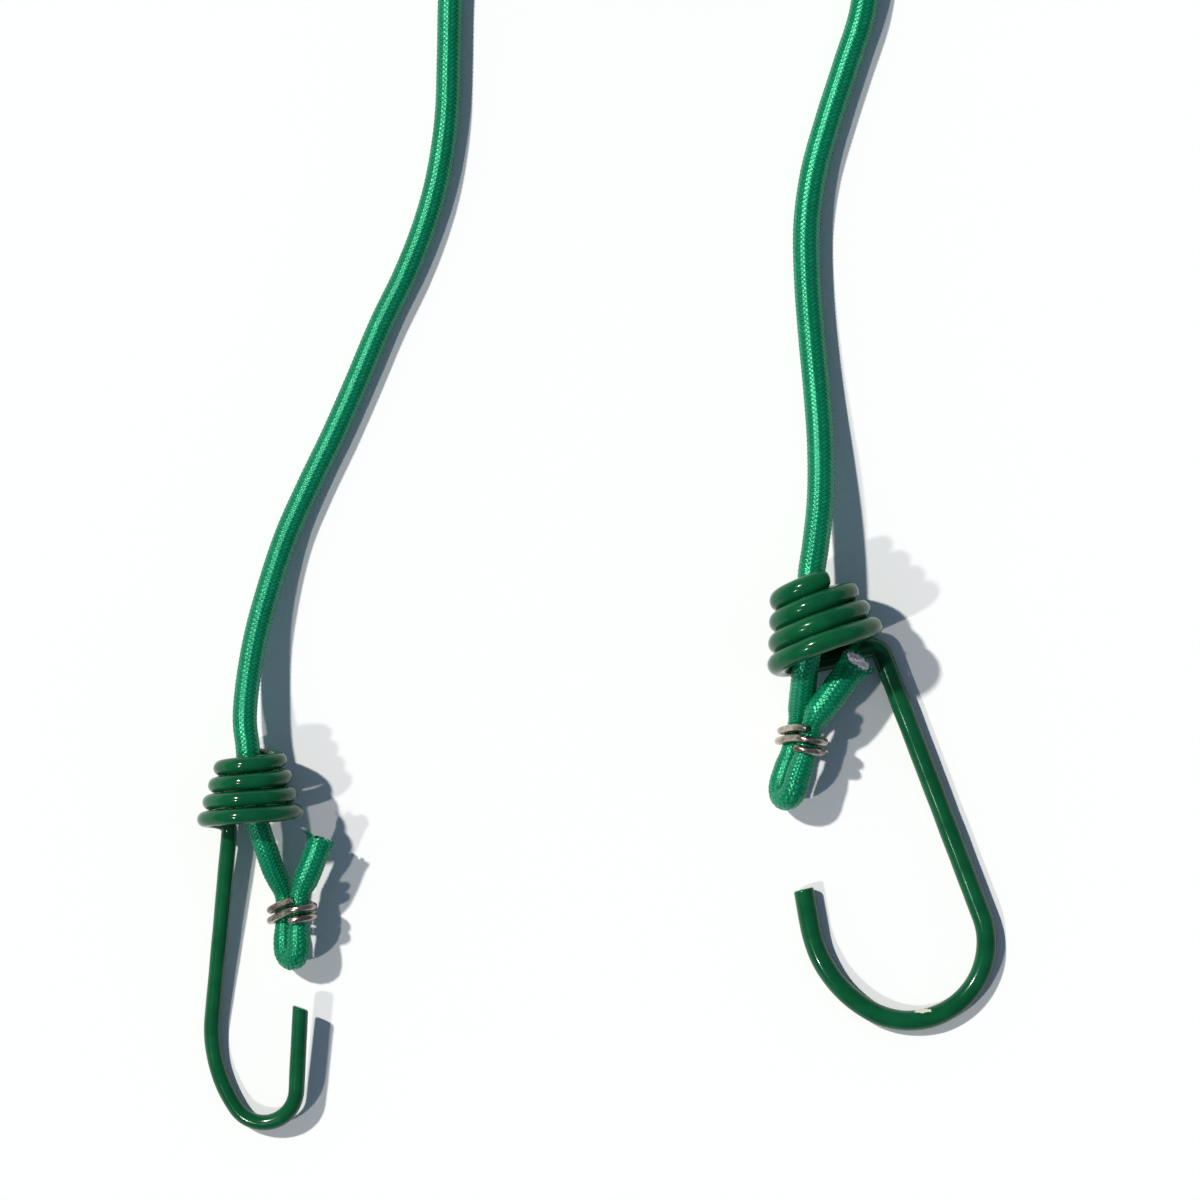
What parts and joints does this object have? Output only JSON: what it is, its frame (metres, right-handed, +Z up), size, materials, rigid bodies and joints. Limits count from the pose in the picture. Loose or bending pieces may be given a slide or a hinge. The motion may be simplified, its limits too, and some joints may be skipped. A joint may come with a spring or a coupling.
{
  "type": "elastic clothesline",
  "caption": "Elastic clothesline: braided rubber cord with a coated wire hook wound round each folded, wire-clipped end, its spare length tied in a round coil.",
  "frame": {"origin": "middle of the box round the two hooks and folded ends, on the surface that the line lies on", "axes": "+X from the left hook to the right hook, +Y from the hooks along the line towards the stored coil, +Z up from the surface"},
  "size_m": [0.1991, 0.3938, 0.0309],
  "materials": {
    "hook_coat": "glossy dark green dip coating",
    "hook_wire": "drawn steel wire",
    "clip_wire": "dull bare steel wire",
    "cord_braid": "shiny green braided yarn",
    "rubber_core": "pale bare rubber strands",
    "tie": "flat dark plastic band"
  },
  "bodies": {
    "cord": {"stored_coil": "cord_braid", "coil_tie": "tie", "left_line_sheath": "cord_braid", "left_line_core": "rubber_core", "right_line_sheath": "cord_braid", "right_line_core": "rubber_core"},
    "left_end": {"left_end_sheath": "cord_braid", "left_end_core": "rubber_core", "left_clip": "clip_wire"},
    "left_hook": {"left_hook_coat": "hook_coat", "left_hook_wire": "hook_wire"},
    "right_end": {"right_end_sheath": "cord_braid", "right_end_core": "rubber_core", "right_clip": "clip_wire"},
    "right_hook": {"right_hook_coat": "hook_coat", "right_hook_wire": "hook_wire"}
  },
  "joints": [
    {"name": "left_stretch", "type": "slide", "parent": "cord", "child": "left_end", "axis": [0, -1, 0], "range_m": [0, 0.15], "stiffness_N_per_m": 250, "deforming": ["left_line_sheath", "left_line_core"]},
    {"name": "left_swivel", "type": "hinge", "parent": "left_end", "child": "left_hook", "pos_m": [-0.08624, 0.0071, 0.01261], "axis": [0, 1, -0.0052], "range_deg": [-45, 195]},
    {"name": "right_stretch", "type": "slide", "parent": "cord", "child": "right_end", "axis": [0.2756, -0.9613, 0], "range_m": [0, 0.12], "stiffness_N_per_m": 350, "deforming": ["right_line_sheath", "right_line_core"]},
    {"name": "right_swivel", "type": "hinge", "parent": "right_end", "child": "right_hook", "pos_m": [0.05806, 0.0474, 0.01609], "axis": [-0.2746, 0.9576, -0.0872], "range_deg": [-215, 60]}
  ]
}
